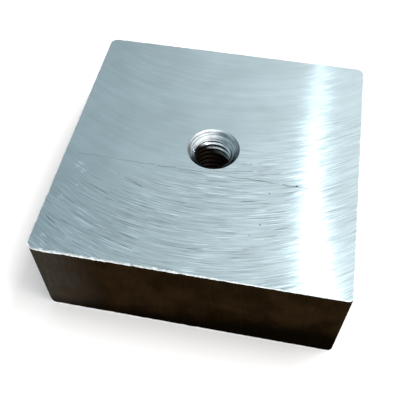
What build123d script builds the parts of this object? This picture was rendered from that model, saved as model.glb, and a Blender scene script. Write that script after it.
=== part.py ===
"""Machined mounting block: a slice of square steel bar, faced on top and tapped through its middle.

The block rests on its bottom face. The origin is at the middle of that face, +Z is up, +Y is the
back and -Y the front. Everything is in millimetres and degrees.
"""

import os
from math import ceil, radians, tan

from build123d import *
from build123d.topology import SkipClean

# The bar, and the slice taken from it
WIDTH = 55.0  # left side to right side
DEPTH = 55.0  # front side to back side
HEIGHT = 20.0  # bottom face to faced top
ROLLED_CORNER_RADIUS = 1.65  # three upright corners, as the bar was rolled
DRESSED_CORNER_RADIUS = 1.0  # the front right upright corner, dressed closer to square
RIM_BREAK = 0.25  # filed off the rims of the top and bottom faces

# The tapped hole, a coarse metric thread
THREAD_DIAMETER = 8.0  # major diameter, at the roots of the groove
THREAD_PITCH = 1.25
THREAD_ANGLE = 60.0  # between the flanks of the groove

WALL_SEAMS = (45.0, 135.0, 225.0, 315.0)  # round the drilled wall, clear of the groove's joints

# The mouths of the hole, opened with a countersink
MOUTH_DIAMETER = 10.0  # at the top face
EXIT_DIAMETER = 8.8  # at the bottom face
MOUTH_ANGLE = 90.0  # between opposite sides of the cone

# The metric thread form, worked out from its sharp triangle
flank_slope = tan(radians(THREAD_ANGLE / 2))
triangle_height = THREAD_PITCH / 2 / flank_slope
major_radius = THREAD_DIAMETER / 2
minor_radius = major_radius - triangle_height * 5 / 8  # the tapping drill, and the crests
root_width = THREAD_PITCH / 8
tooth_overlap = triangle_height / 16  # the tap's tooth starts this far inside the drilled wall
tooth_height = major_radius - minor_radius + tooth_overlap
tooth_width = root_width + 2 * tooth_height * flank_slope

mouth_slope = tan(radians(MOUTH_ANGLE / 2))
mouth_depth = (MOUTH_DIAMETER / 2 - minor_radius) / mouth_slope
exit_depth = (EXIT_DIAMETER / 2 - minor_radius) / mouth_slope

os.makedirs("parts", exist_ok=True)

# One turn of the groove that the tap cuts: its tooth carried once round a helix
with BuildPart() as groove_turn:
    with BuildLine() as tooth_path:
        Helix(pitch=THREAD_PITCH, height=THREAD_PITCH, radius=minor_radius)
    with BuildSketch(Plane.XZ):
        with Locations((minor_radius - tooth_overlap + tooth_height / 2, 0)):
            Trapezoid(tooth_width, tooth_height, 90 - THREAD_ANGLE / 2, rotation=-90)
    sweep(path=tooth_path.line, is_frenet=True)

with BuildPart() as mounting_block:
    # the slice of bar
    with BuildSketch():
        with BuildLine():
            FilletPolyline(
                (-WIDTH / 2, -DEPTH / 2),
                (WIDTH / 2, -DEPTH / 2),
                (WIDTH / 2, DEPTH / 2),
                (-WIDTH / 2, DEPTH / 2),
                radius=[
                    ROLLED_CORNER_RADIUS,
                    DRESSED_CORNER_RADIUS,
                    ROLLED_CORNER_RADIUS,
                    ROLLED_CORNER_RADIUS,
                ],
                close=True,
            )
        make_face()
    extrude(amount=HEIGHT)

    # both faces keep a fine filed rim
    faced = mounting_block.faces().filter_by(Axis.Z)
    chamfer([edge for face in faced for edge in face.edges()], RIM_BREAK)

    # The hole is cut with its seams left in, four down the wall and one across each turn of the
    # groove, so that the crests left by the tap are short strips of the drilled wall.
    with SkipClean():
        # drilled through and countersunk at both mouths
        with BuildSketch(*(Plane.XZ.rotated((0, 0, seam)) for seam in WALL_SEAMS)):
            with BuildLine():
                Polyline(
                    (0, 0),
                    (EXIT_DIAMETER / 2, 0),
                    (minor_radius, exit_depth),
                    (minor_radius, HEIGHT - mouth_depth),
                    (MOUTH_DIAMETER / 2, HEIGHT),
                    (0, HEIGHT),
                    close=True,
                )
            make_face()
        revolve(axis=Axis.Z, revolution_arc=360 / len(WALL_SEAMS), mode=Mode.SUBTRACT)

        # tapped, from one turn below the bottom face to one turn above the top face
        for turn in range(-1, ceil(HEIGHT / THREAD_PITCH) + 1):
            with Locations((0, 0, turn * THREAD_PITCH)):
                add(groove_turn.part, mode=Mode.SUBTRACT)

mounting_block.part.label = "mounting_block"
export_step(mounting_block.part, "parts/mounting_block.step")
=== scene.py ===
"""The machined mounting block, dressed: a slice of rolled square steel bar with a fly-cut top.

Everything is in metres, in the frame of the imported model: the block rests on its bottom face,
+Z is up and -Y is the front. The patterns on its finishes are laid out in millimetres.
"""

from math import atan2, ceil, pi, radians, tan

import bmesh
import bpy
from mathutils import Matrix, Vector, noise


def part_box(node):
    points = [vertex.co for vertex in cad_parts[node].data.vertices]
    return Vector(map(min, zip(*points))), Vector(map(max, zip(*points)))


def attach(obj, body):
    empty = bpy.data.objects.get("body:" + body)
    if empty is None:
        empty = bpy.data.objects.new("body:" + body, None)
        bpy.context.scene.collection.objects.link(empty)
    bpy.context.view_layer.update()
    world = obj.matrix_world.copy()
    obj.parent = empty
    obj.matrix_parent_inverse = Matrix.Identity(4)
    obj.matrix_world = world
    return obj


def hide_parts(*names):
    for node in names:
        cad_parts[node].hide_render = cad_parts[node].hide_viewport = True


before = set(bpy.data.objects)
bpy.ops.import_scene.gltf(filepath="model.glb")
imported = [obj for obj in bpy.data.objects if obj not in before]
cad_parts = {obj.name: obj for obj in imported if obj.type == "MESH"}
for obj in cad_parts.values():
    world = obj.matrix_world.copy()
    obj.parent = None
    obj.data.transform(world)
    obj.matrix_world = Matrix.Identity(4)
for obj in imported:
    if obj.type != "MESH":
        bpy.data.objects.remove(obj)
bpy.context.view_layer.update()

# ---------------------------------------------------------------------------------------------
# The camera: held a hand's breadth above the front of the block and looking down on its top,
# so that the faced top and the front side are seen.

scene = bpy.context.scene
camera = bpy.data.objects.new("camera", bpy.data.cameras.new("camera"))
camera.location = (0.011594, -0.074041, 0.106686)
camera.rotation_euler = [radians(turn) for turn in (35.9533, 0.0802, 10.7604)]
camera.data.lens = 54.16
camera.data.clip_start = 0.005
scene.collection.objects.link(camera)
scene.camera = camera

# ---------------------------------------------------------------------------------------------
# The slice of bar: sawn from square bar with rolled corners, then faced on top.
# It is one solid piece of steel. Both rims were dressed with a file, which left them ragged.

MM = 0.001
ROLLED_RADIUS = 1.65 * MM  # three upright corners, as the bar was rolled
DRESSED_RADIUS = 1.0 * MM  # the front right upright corner, dressed closer to square
CORNER_STEPS = 10
RIM_BREAK = 0.25 * MM
RIM_STEPS = 2
RIM_CUTS = 219  # points along each rim, close enough together to make it ragged

# Width of the filed rims, as a share of the break
FRONT_LEFT_WIDTH = 1.3
FRONT_RIGHT_WIDTH = 0.35
OTHER_WIDTH = 0.8
LEAST_WIDTH = 0.12

# The file's nicks: how closely they lie, per metre, and how far they change the width
FINE_NICKS, FINE_DEPTH = 2600, 0.55
BROAD_NICKS, BROAD_DEPTH = 900, 0.5
DEEP_NICKS, DEEP_DEPTH, DEEP_FROM = 420, 3.0, 0.45

low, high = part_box("mounting_block")
size = high - low
middle = (low + high) / 2


def round_over(mesh, edges, offset, steps):
    """Takes edges off a mesh, in this many steps."""
    bmesh.ops.bevel(
        mesh,
        geom=edges,
        offset=offset,
        offset_type="OFFSET",
        segments=steps,
        profile=0.5,
        affect="EDGES",
        material=-1,
    )


def is_upright(edge):
    """Whether an edge runs from the bottom of the slice to its top."""
    a, b = edge.verts
    return abs(a.co.z - b.co.z) > size.z / 2


def is_rim(edge):
    """Whether an edge lies between a side of the slice and its top or bottom."""
    return not is_upright(edge) and len({round(face.normal.z) for face in edge.link_faces}) == 2


def is_dressed(point):
    """Whether the upright corner nearest to a point is the dressed one."""
    return point.x > 0 > point.y


def file_rim(vert):
    """Moves a rim vertex in or out along the rim's break, so that the break's width wanders."""
    top_gap = high.z - vert.co.z
    bottom_gap = vert.co.z - low.z
    drop = min(top_gap, bottom_gap)
    if drop > RIM_BREAK * 1.01:
        return
    radius = DRESSED_RADIUS if is_dressed(vert.co) else ROLLED_RADIUS
    core = Vector(
        (
            max(low.x + radius, min(high.x - radius, vert.co.x)),
            max(low.y + radius, min(high.y - radius, vert.co.y)),
        )
    )
    outward = vert.co.xy - core
    inset = radius - outward.length
    ragged = noise.noise(vert.co * BROAD_NICKS) * BROAD_DEPTH
    ragged += noise.noise(vert.co * FINE_NICKS) * FINE_DEPTH
    deep = noise.noise(vert.co * DEEP_NICKS + Vector((7, 3, 1)))
    ragged += max(0.0, deep - DEEP_FROM) * DEEP_DEPTH
    width = OTHER_WIDTH
    if vert.co.y < low.y + DRESSED_RADIUS:
        along = (vert.co.x - low.x) / size.x
        width = FRONT_LEFT_WIDTH + (FRONT_RIGHT_WIDTH - FRONT_LEFT_WIDTH) * along
    width = max(LEAST_WIDTH, width * (1 + ragged))
    vert.co.xy = core + outward.normalized() * (radius - inset * width)
    vert.co.z = high.z - drop * width if top_gap < bottom_gap else low.z + drop * width


bar = bmesh.new()
bmesh.ops.create_cube(bar, size=1.0)
bmesh.ops.scale(bar, vec=size, verts=bar.verts)
bmesh.ops.translate(bar, vec=middle, verts=bar.verts)
for dressed, radius in ((False, ROLLED_RADIUS), (True, DRESSED_RADIUS)):
    corners = [e for e in bar.edges if is_upright(e) and is_dressed(e.verts[0].co) == dressed]
    round_over(bar, corners, radius, CORNER_STEPS)
straight_rims = [edge for edge in bar.edges if edge.calc_length() > size.x * 0.8]
bmesh.ops.subdivide_edges(bar, edges=straight_rims, cuts=RIM_CUTS)
round_over(bar, [edge for edge in bar.edges if is_rim(edge)], RIM_BREAK, RIM_STEPS)
for vert in bar.verts:
    file_rim(vert)

block = bpy.data.objects.new("faced_block", bpy.data.meshes.new("faced_block"))
bar.to_mesh(block.data)
bar.free()
scene.collection.objects.link(block)

# ---------------------------------------------------------------------------------------------
# The hole: drilled through, countersunk at both mouths, then cut with a coarse 8 mm tap.
# Each cutter is a closed shape, and they are taken out of the slice in the order of the work.

PITCH = 1.25 * MM
MAJOR_RADIUS = 4.0 * MM
SHARP_HEIGHT = PITCH / 2 / tan(radians(30))  # of the thread's sharp triangle
MINOR_RADIUS = MAJOR_RADIUS - SHARP_HEIGHT * 5 / 8
CREST = PITCH / 4  # of the drilled wall left between two turns of the groove
FLANK = PITCH * 5 / 16  # along the hole, from a crest to a root
ROOT = PITCH / 8
MOUTH_RADIUS = 5.0 * MM
EXIT_RADIUS = 4.4 * MM
TIP_INSET = 0.4 * MM  # how far inside the drilled wall the cones start
CLEAR = 1 * MM  # how far the cones reach past the faces
STEPS = 72  # round one turn of the thread
TURNS = ceil(size.z / PITCH) + 3


def cutter_object(name, mesh):
    """A closed cutter as an object, its doubles merged and its faces pointing outwards."""
    bmesh.ops.remove_doubles(mesh, verts=mesh.verts, dist=1e-7)
    bmesh.ops.recalc_face_normals(mesh, faces=mesh.faces)
    made = bpy.data.objects.new(name, bpy.data.meshes.new(name))
    mesh.to_mesh(made.data)
    mesh.free()
    scene.collection.objects.link(made)
    return made


def countersink(name, face_z, radius, upward):
    """A 90 degree cone that opens the hole to this radius at the face."""
    tip = MINOR_RADIUS - TIP_INSET
    length = radius - tip + CLEAR
    mesh = bmesh.new()
    bmesh.ops.create_cone(
        mesh,
        cap_ends=True,
        segments=STEPS * 2,
        radius1=tip if upward else tip + length,
        radius2=tip + length if upward else tip,
        depth=length,
    )
    centre = face_z + (CLEAR - length / 2) * (1 if upward else -1)
    bmesh.ops.translate(mesh, vec=(0, 0, centre), verts=mesh.verts)
    return cutter_object(name, mesh)


def tap():
    """The screw-shaped space that the tap clears, from below the slice to above it."""
    mesh = bmesh.new()
    start = low.z - 1.5 * PITCH
    one_turn = (
        (MINOR_RADIUS, 0),
        (MINOR_RADIUS, CREST),
        (MAJOR_RADIUS, CREST + FLANK),
        (MAJOR_RADIUS, CREST + FLANK + ROOT),
        (MINOR_RADIUS, PITCH),
    )
    verts = [mesh.verts.new((radius, 0, start + rise)) for radius, rise in one_turn]
    edges = [mesh.edges.new(pair) for pair in zip(verts, verts[1:])]
    bmesh.ops.spin(
        mesh,
        geom=verts + edges,
        axis=(0, 0, 1),
        cent=(0, 0, 0),
        dvec=(0, 0, PITCH / STEPS),
        angle=2 * pi * TURNS,
        steps=STEPS * TURNS,
    )
    bmesh.ops.remove_doubles(mesh, verts=mesh.verts, dist=1e-7)
    # Each end is drawn to a point, clear of the slice, to close the shape
    for above, point_z in ((False, start - PITCH), (True, start + PITCH * (TURNS + 2))):
        end = [e for e in mesh.edges if e.is_boundary and (e.verts[0].co.z > middle.z) == above]
        drawn = bmesh.ops.extrude_edge_only(mesh, edges=end)["geom"]
        point = [item for item in drawn if isinstance(item, bmesh.types.BMVert)]
        bmesh.ops.pointmerge(mesh, verts=point, merge_co=(0, 0, point_z))
    return cutter_object("tap", mesh)


for cutter in (
    countersink("mouth_countersink", high.z, MOUTH_RADIUS, True),
    countersink("exit_countersink", low.z, EXIT_RADIUS, False),
    tap(),
):
    cut = block.modifiers.new("cut", "BOOLEAN")
    cut.operation = "DIFFERENCE"
    cut.solver = "EXACT"
    cut.object = cutter
    machined = block.evaluated_get(bpy.context.evaluated_depsgraph_get())
    shaped = bpy.data.meshes.new_from_object(machined)
    block.modifiers.remove(cut)
    block.data = shaped
    bpy.data.objects.remove(cutter)
block.data.name = "faced_block"

# ---------------------------------------------------------------------------------------------
# The faced top: cut by one pass of a fly cutter fed from front to back, which left arcs that all
# have the same radius. The steel is bare, with a few scratches, pits and rubbed places.

CUTTER_RADIUS = 47.7
CUTTER_LINE = -1.6  # sideways place of the line that the cutter's middle ran along
FACED_STEEL = (0.43, 0.545, 0.595)
MARK_LEAN = -0.0025  # how much the marks turn for each millimetre towards the back, in radians
MARK_WANDER = 0.20  # how much they turn from place to place
MARK_DEPTH = 0.006

# Each short scratch: from, to and a seed
SHORT_SCRATCHES = (
    ((5.4, -2.9), (9.9, -1.9), 11.0),
    ((6.6, -4.4), (10.4, -3.6), 13.0),
    ((-16.5, -9.0), (-10.5, -11.6), 17.0),
    ((9.0, -4.9), (13.8, -3.6), 19.0),
)
# Each pit, rubbed place and darker patch: across, along and its radius
PITS = ((10.9, -15.6, 0.2), (9.4, -18.1, 0.15), (16.4, -6.0, 0.2), (11.7, -8.6, 0.2))
RUBS = (
    (-23.7, -8.4, 1.5),
    (-22.6, -9.6, 1.0),
    (-24.8, -16.1, 1.0),
    (-25.1, -24.4, 1.0),
    (-24.8, -26.3, 1.0),
    (-22.9, -13.1, 0.5),
    (-25.2, -20.4, 0.5),
)
BACK_LEFT_DARKENING = (-25.0, 24.5, 7.0)
FAINT_DARKENING = (-14.0, 16.0, 5.0)


class Pattern:
    """A tree of shader nodes under construction."""

    def __init__(self, tree):
        self.tree = tree

    def add(self, kind, inputs=None, **settings):
        """A node with these settings. Each input is a value or another node's output."""
        made = self.tree.nodes.new("ShaderNode" + kind)
        for name, value in settings.items():
            setattr(made, name, value)
        for key, value in (inputs or {}).items():
            self.feed(made.inputs[key], value)
        return made

    def feed(self, socket, value):
        """Gives a socket a value, or joins another node's output to it."""
        if isinstance(value, bpy.types.NodeSocket):
            self.tree.links.new(value, socket)
        else:
            socket.default_value = value

    def math(self, operation, *values):
        """The result of one of the Math node's operations."""
        return self.add("Math", dict(enumerate(values)), operation=operation).outputs[0]

    def product(self, *values):
        """The values multiplied together."""
        result = values[0]
        for value in values[1:]:
            result = self.math("MULTIPLY", result, value)
        return result

    def total(self, *values):
        """The values added together."""
        result = values[0]
        for value in values[1:]:
            result = self.math("ADD", result, value)
        return result

    def swing(self, noise_value, amount):
        """Noise turned into a change of up to about half this amount, up or down."""
        return self.product(self.math("SUBTRACT", noise_value, 0.5), amount)

    def vector(self, x, y, z=0.0):
        """Three values as one vector."""
        return self.add("CombineXYZ", {"X": x, "Y": y, "Z": z}).outputs[0]

    def noise(self, place, scale=1.0, detail=2.0):
        """Soft noise about 0.5."""
        inputs = {"Vector": place, "Scale": scale, "Detail": detail}
        return self.add("TexNoise", inputs).outputs["Fac"]

    def ramp(self, value, start, end, at_start=0.0, at_end=1.0):
        """at_start where the value is at start, at_end where it is at end, smooth between."""
        inputs = {
            "Value": value,
            "From Min": start,
            "From Max": end,
            "To Min": at_start,
            "To Max": at_end,
        }
        made = self.add("MapRange", inputs, interpolation_type="SMOOTHSTEP")
        return made.outputs["Result"]

    def blend(self, amount, first, second):
        """The first colour, turned into the second by an amount from 0 to 1."""
        first, second = (
            (*colour, 1) if isinstance(colour, tuple) else colour for colour in (first, second)
        )
        made = self.add("Mix", {0: amount, 6: first, 7: second}, data_type="RGBA")
        return made.outputs[2]

    def shade(self, colour, amount):
        """A colour made lighter or darker by a factor."""
        made = self.add("VectorMath", {0: colour, "Scale": amount}, operation="SCALE")
        return made.outputs[0]


class Finish(Pattern):
    """A material under construction. Sizes in its patterns are in millimetres."""

    def __init__(self, name):
        self.material = bpy.data.materials.new(name)
        self.material.use_nodes = True
        super().__init__(self.material.node_tree)
        self.shader = self.tree.nodes["Principled BSDF"]
        self.place = self.shade(self.add("TexCoord").outputs["Object"], 1 / MM)
        split = self.add("SeparateXYZ", {0: self.place}).outputs
        self.x, self.y, self.z = split["X"], split["Y"], split["Z"]

    def set(self, **values):
        """Sets inputs of the shader. Their names are written with _ for each space."""
        for name, value in values.items():
            self.feed(self.shader.inputs[name.replace("_", " ")], value)

    def bump(self, height, depth):
        """Normal of a relief this many millimetres deep."""
        inputs = {"Height": height, "Distance": depth * MM, "Strength": 1.0}
        return self.add("Bump", inputs).outputs["Normal"]


faced = Finish("faced_steel")
sweep = faced.math(
    "ARCSINE", faced.math("DIVIDE", faced.math("SUBTRACT", faced.x, CUTTER_LINE), CUTTER_RADIUS)
)
along = faced.product(sweep, CUTTER_RADIUS)
across = faced.total(faced.product(faced.math("COSINE", sweep), CUTTER_RADIUS), faced.y)


def cutter_marks(length, spacing, seed):
    """Noise drawn out along the cutter's arcs."""
    place = faced.vector(
        faced.math("DIVIDE", along, length), faced.math("DIVIDE", across, spacing), seed
    )
    return faced.noise(place)


def spot(x, y, radius, soft=0.5):
    """1 inside a round spot of the top and 0 outside it."""
    ends = {0: faced.vector(faced.x, faced.y), 1: (x, y, 0)}
    away = faced.add("VectorMath", ends, operation="DISTANCE").outputs["Value"]
    return faced.ramp(away, radius, radius * (1 - soft))


def scratch(start, end, width, waver, gaps, seed):
    """1 on a scratch from start to end that wavers sideways and fades out here and there."""
    run = Vector(end) - Vector(start)
    turned = (0, 0, atan2(run.y, run.x))
    inputs = {"Vector": faced.place, "Location": (*start, 0), "Rotation": turned}
    laid = faced.add("Mapping", inputs, vector_type="TEXTURE").outputs[0]
    run_on, aside, _ = faced.add("SeparateXYZ", {0: laid}).outputs
    sway = faced.noise(faced.vector(run_on, seed), scale=0.4, detail=3.0)
    aside = faced.math("ABSOLUTE", faced.total(faced.swing(sway, waver), aside))
    from_middle = faced.math("ABSOLUTE", faced.math("SUBTRACT", run_on, run.length / 2))
    pressed = faced.noise(faced.vector(run_on, seed + 5.0), scale=0.8)
    return faced.product(
        faced.ramp(aside, width, width * 0.3),
        faced.ramp(from_middle, run.length / 2, run.length / 2 - 1.0),
        faced.ramp(pressed, gaps, gaps + 0.12),
    )


def strongest(layers):
    """The strongest of several layers at each place."""
    result = 0.0
    for layer in layers:
        result = faced.math("MAXIMUM", result, layer)
    return result


# The marks are crisp towards the front and on the right, and worn soft at the back left
fine = cutter_marks(length=7.0, spacing=0.26, seed=3.1)
broad = cutter_marks(length=16.0, spacing=1.3, seed=9.7)
cloud = faced.noise(faced.place, scale=0.13, detail=3.0)
towards_back_left = faced.total(faced.y, faced.product(faced.x, -0.55), faced.product(cloud, 8.0))
crisp = faced.ramp(towards_back_left, 9.0, -4.0)
clusters = faced.product(
    faced.ramp(faced.noise(faced.place, scale=0.22), 0.38, 0.62, 0.35, 1.0),
    faced.ramp(faced.x, 26.0, 19.0, 0.35, 1.0),
)
dark_marks, light_marks = (
    faced.product(faced.ramp(cutter_marks(length, 0.23, seed), 0.56, 0.66), crisp)
    for length, seed in ((5.0, 21.3), (5.5, 33.9))
)

long_scratch = faced.product(
    scratch((-25.5, -5.7), (19.3, -6.2), width=0.15, waver=0.9, gaps=0.30, seed=2.0),
    faced.ramp(faced.x, -20.0, -4.0, 0.35, 1.0),
)
corner_scratch = scratch(
    (-26.3, -20.4), (-22.4, -23.2), width=0.16, waver=0.4, gaps=0.2, seed=7.0
)
short_scratches = [
    scratch(start, end, width=0.13, waver=0.3, gaps=0.38, seed=seed)
    for start, end, seed in SHORT_SCRATCHES
]
scratches = strongest([long_scratch, corner_scratch, *short_scratches])
pits = strongest(spot(*pit) for pit in PITS)
rubs = faced.product(
    strongest(spot(*rub, soft=0.9) for rub in RUBS),
    faced.ramp(cutter_marks(length=1.6, spacing=0.35, seed=71.0), 0.46, 0.60),
)
# Darker towards the back left corner of the top
darkening = faced.total(
    spot(*BACK_LEFT_DARKENING, soft=1.0), faced.product(spot(*FAINT_DARKENING, soft=1.0), 0.5)
)

tone = faced.total(
    1.0,
    faced.swing(fine, faced.ramp(crisp, 0.0, 1.0, 0.15, 0.9)),
    faced.swing(broad, 0.22),
    faced.swing(cloud, 0.30),
    faced.product(dark_marks, clusters, -0.37),
    faced.product(light_marks, clusters, 0.46),
    faced.product(scratches, -0.45),
    faced.product(pits, -0.75),
    faced.product(rubs, 0.45),
    faced.product(darkening, -0.10),
)
heading = faced.total(
    sweep,
    faced.product(faced.y, MARK_LEAN),
    faced.swing(cutter_marks(length=5.0, spacing=0.8, seed=51.0), MARK_WANDER),
)
faced.set(
    Base_Color=faced.shade(FACED_STEEL, tone),
    Metallic=1.0,
    Roughness=0.21,
    Anisotropic=1.0,
    # squarely across the marks
    Tangent=faced.vector(
        faced.product(faced.math("SINE", heading), -1.0), faced.math("COSINE", heading)
    ),
    Normal=faced.bump(fine, MARK_DEPTH),
)

# ---------------------------------------------------------------------------------------------
# The bar's own sides: never machined, so they keep the dark brown scale of hot rolling.
# Painted reflection turns it grey towards the left, and painted shade makes it darkest low down
# on the right.

BROWN_SCALE = (0.0108, 0.0061, 0.0024)
LIGHT_SCALE = (0.0180, 0.0102, 0.0043)
# Painted reflection: grey for the light that the left end throws back
PAINTED_REFLECTION_GREY = (0.040, 0.035, 0.0275)
# Painted shade: near black low down on the right
PAINTED_SHADE_BLACK = (0.0028, 0.0019, 0.0008)

scale = Finish("rolled_scale")
patches = scale.noise(scale.place, scale=0.16, detail=3.0)
rolling = scale.noise(
    scale.vector(scale.x, scale.y, scale.product(scale.z, 0.12)), scale=1.6
)
mottle = scale.noise(scale.place, scale=2.2, detail=3.0)
grain = scale.noise(scale.place, scale=3.0, detail=4.0)
# Painted reflection: the sides turn grey towards the left
painted_reflection_left = scale.ramp(scale.total(scale.x, scale.product(patches, 8.0)), -10.0, -24.0)
# Painted shade: the sides darken to near black low down, most on the right
painted_shade_low_down = scale.ramp(
    scale.total(scale.z, scale.product(scale.x, -0.15), scale.product(patches, 6.0)), 12.0, 4.0
)
scale_and_painted_light = scale.blend(scale.ramp(patches, 0.35, 0.65), BROWN_SCALE, LIGHT_SCALE)
scale_and_painted_light = scale.blend(painted_reflection_left, scale_and_painted_light, PAINTED_REFLECTION_GREY)
scale_and_painted_light = scale.blend(painted_shade_low_down, scale_and_painted_light, PAINTED_SHADE_BLACK)
scale.set(
    Base_Color=scale.shade(
        scale_and_painted_light, scale.total(1.0, scale.swing(rolling, 0.6), scale.swing(mottle, 0.5))
    ),
    Roughness=scale.ramp(mottle, 0.3, 0.7, 0.5, 0.65),
    Specular_IOR_Level=0.0,
    Normal=scale.bump(grain, 0.03),
)

# ---------------------------------------------------------------------------------------------
# The filed rims: bare steel, bright where the file took the sharp edge off the top and bottom,
# and a little uneven along their length.

FILED_STEEL = (0.74, 0.80, 0.82)

filed = Finish("filed_rim")
strokes = filed.noise(filed.place, scale=1.7)
filed.set(
    Base_Color=filed.shade(FILED_STEEL, filed.ramp(strokes, 0.3, 0.7, 0.8, 1.15)),
    Metallic=1.0,
    Roughness=0.3,
)

# ---------------------------------------------------------------------------------------------
# The cut wall of the hole: bright and ringed where the countersink ran, darkening down the thread
# with cutting oil and painted shade. Painted light keeps the back right bright deeper down and
# the mouth's back brighter than its sides.

CUT_STEEL = (0.60, 0.69, 0.74)
# Dark cutting oil, also painted shade deeper in the hole
OIL_AND_PAINTED_SHADE = (0.006, 0.0045, 0.0032)
PAINTED_LIGHT_THREAD_SIDE = radians(45)  # side of the hole where painted light keeps the thread bright deeper down
PAINTED_LIGHT_MOUTH_SIDE = radians(88)  # side of the mouth that is painted brightest, as painted light

bored = Finish("cut_hole")
depth = bored.math("SUBTRACT", size.z / MM, bored.z)
reach = bored.math(
    "SQRT", bored.total(bored.product(bored.x, bored.x), bored.product(bored.y, bored.y))
)
turn = bored.math("ARCTAN2", bored.y, bored.x)


def facing(side):
    """1 on one side of the hole, falling to -1 on the opposite side."""
    return bored.math("COSINE", bored.math("SUBTRACT", turn, side))


rings = bored.noise(
    bored.vector(
        bored.product(reach, 3.6), bored.product(bored.z, 3.6), bored.product(turn, 0.5)
    ),
    detail=3.0,
)
chatter = bored.noise(
    bored.vector(bored.math("SINE", turn), bored.math("COSINE", turn), reach), scale=2.2
)
in_thread = bored.ramp(depth, 1.2, 2.0)
# Painted light: at the back right the thread stays bright deeper down
oil_and_shade_depth = bored.total(
    depth,
    bored.noise(bored.place, scale=0.5),
    bored.product(facing(PAINTED_LIGHT_THREAD_SIDE), in_thread, -3.0),
)
# Darker with depth: partly cutting oil, partly painted shade in the hole
oil_and_painted_shade = bored.ramp(oil_and_shade_depth, 1.0, 3.6)
# The facing term paints the back of the hole brighter than its front and sides, as painted light
brightness = bored.product(
    bored.ramp(rings, 0.38, 0.60, 0.5, 1.15),
    bored.ramp(chatter, 0.35, 0.6, 0.75, 1.1),
    bored.ramp(facing(PAINTED_LIGHT_MOUTH_SIDE), -0.1, 0.85, 0.40, 1.15),
)
bored.set(
    Base_Color=bored.blend(oil_and_painted_shade, bored.shade(CUT_STEEL, brightness), OIL_AND_PAINTED_SHADE),
    Metallic=1.0,
    Roughness=bored.ramp(oil_and_painted_shade, 0.0, 1.0, 0.2, 0.42),
    Normal=bored.bump(rings, 0.008),
)

# ---------------------------------------------------------------------------------------------
# The underside: bare steel as the saw left it, with straight marks from side to side.
# It is duller than the faced top, because nothing was done to it after the saw.

SAWN_STEEL = (0.36, 0.42, 0.44)

sawn = Finish("sawn_underside")
saw_marks = sawn.noise(
    sawn.vector(sawn.product(sawn.x, 0.05), sawn.product(sawn.y, 2.4), 4.0), detail=3.0
)
sawn.set(
    Base_Color=sawn.shade(SAWN_STEEL, sawn.ramp(saw_marks, 0.3, 0.7, 0.7, 1.2)),
    Metallic=1.0,
    Roughness=0.38,
    Anisotropic=0.8,
    Tangent=sawn.vector(0.0, 1.0),
    Normal=sawn.bump(saw_marks, 0.03),
)

# ---------------------------------------------------------------------------------------------
# The whole block: each face gets the finish of the tool that made it, and the edge between two
# finishes is left crisp. The finished block stands in for the plain solid.

SOFT_ANGLE = radians(25)  # faces that meet at less than this are shaded as one
FLAT = 0.999  # how squarely a face has to look up or down to be the top or the underside

for finish in (faced, scale, filed, bored, sawn):
    block.data.materials.append(finish.material)
FACED, SCALE, FILED, BORED, SAWN = range(5)


def finish_of(face):
    """Which finish a face of the cut block has, by its place and the way it looks."""
    centre = face.calc_center_median()
    if centre.xy.length < MOUTH_RADIUS and abs(face.normal.z) < FLAT:
        return BORED
    if face.normal.z > FLAT:
        return FACED
    if face.normal.z < -FLAT:
        return SAWN
    if min(high.z - centre.z, centre.z - low.z) < RIM_BREAK * 2:
        return FILED
    return SCALE


dressed_mesh = bmesh.new()
dressed_mesh.from_mesh(block.data)
dressed_mesh.normal_update()
for face in dressed_mesh.faces:
    face.material_index = finish_of(face)
    face.smooth = True
for edge in dressed_mesh.edges:
    a, b = edge.link_faces
    edge.smooth = a.material_index == b.material_index and edge.calc_face_angle() < SOFT_ANGLE
dressed_mesh.to_mesh(block.data)
dressed_mesh.free()
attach(block, "root")
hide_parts("mounting_block")

# ---------------------------------------------------------------------------------------------
# The bench: a pale matt table top, open right under the block so that the block's underside and
# the end of its hole can be looked at from below.

BENCH_REACH = 3.0  # from its middle to its sides
OPENING_REACH = 26.5 * MM  # the same for the opening, which the block covers

bench = bmesh.new()
bmesh.ops.create_grid(bench, x_segments=1, y_segments=1, size=BENCH_REACH)
bmesh.ops.inset_individual(
    bench, faces=bench.faces[:], thickness=BENCH_REACH - OPENING_REACH, use_even_offset=True
)
under_block = [face for face in bench.faces if face.calc_area() < size.x * size.y]
bmesh.ops.delete(bench, geom=under_block, context="FACES")
bench_top = bpy.data.objects.new("bench", bpy.data.meshes.new("bench"))
bench.to_mesh(bench_top.data)
bench.free()
scene.collection.objects.link(bench_top)
matt = Finish("pale_bench")
matt.set(Base_Color=(0.93, 0.93, 0.93, 1), Roughness=0.9, Specular_IOR_Level=0.0)
bench_top.data.materials.append(matt.material)

# ---------------------------------------------------------------------------------------------
# The room: soft light from all round, cool and low on the left and rising to bright on the
# right, so that the faced top lightens from left to right.

LEFT_LIGHT = (0.40, 0.47, 0.50)
RIGHT_LIGHT = (1.61, 1.53, 1.48)

room = bpy.data.worlds.new("room")
scene.world = room
room.use_nodes = True
walls = Pattern(room.node_tree)
direction = walls.add("SeparateXYZ", {0: walls.add("TexCoord").outputs["Generated"]})
rise = walls.ramp(direction.outputs["X"], -0.62, 0.42)
background = room.node_tree.nodes["Background"]
walls.feed(background.inputs["Color"], walls.blend(rise, LEFT_LIGHT, RIGHT_LIGHT))

# ---------------------------------------------------------------------------------------------
# The strip lamp: long and narrow, overhead on the right, and turned square to the cutter's marks
# so that they throw it back as one bright band from front to back.

strip = bpy.data.objects.new("strip_lamp", bpy.data.lights.new("strip_lamp", "AREA"))
strip.data.shape = "RECTANGLE"
strip.data.size = 0.026
strip.data.size_y = 0.40
strip.data.energy = 2.5
strip.location = (0.282, 0.0, 0.67)
strip.rotation_euler = (0, 0, radians(28))
scene.collection.objects.link(strip)

scene.view_settings.view_transform = "Standard"
